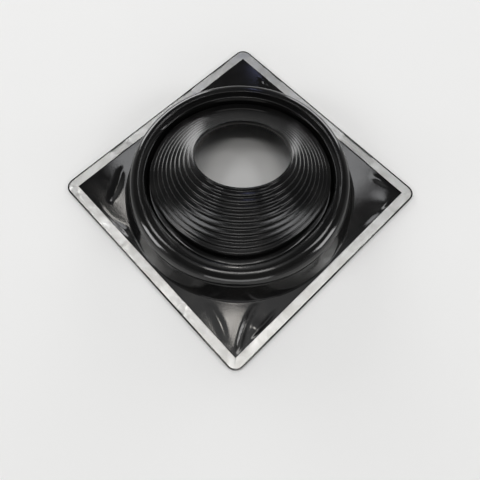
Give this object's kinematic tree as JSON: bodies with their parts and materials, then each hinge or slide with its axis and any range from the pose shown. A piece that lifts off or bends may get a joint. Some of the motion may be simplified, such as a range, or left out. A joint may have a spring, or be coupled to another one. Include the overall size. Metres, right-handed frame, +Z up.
{
  "type": "pipe flashing boot",
  "caption": "Square rubber roof flashing with a bellows, a leaning stepped cone that grips a round pipe, and a soft aluminium edge frame.",
  "frame": {"origin": "centre of the square base, on the undersides of its sealing ribs", "axes": "+Z up out of the roof; +Y up the slope, towards the corner that the cone leans to; +X across"},
  "size_m": [0.6772, 0.6772, 0.1351],
  "materials": {
    "epdm_rubber": "moulded black rubber, satin to glossy",
    "soft_aluminium": "soft rolled strip, hand bent"
  },
  "bodies": {
    "root": {"rubber_boot": "epdm_rubber", "aluminium_frame": "soft_aluminium"}
  },
  "joints": []
}
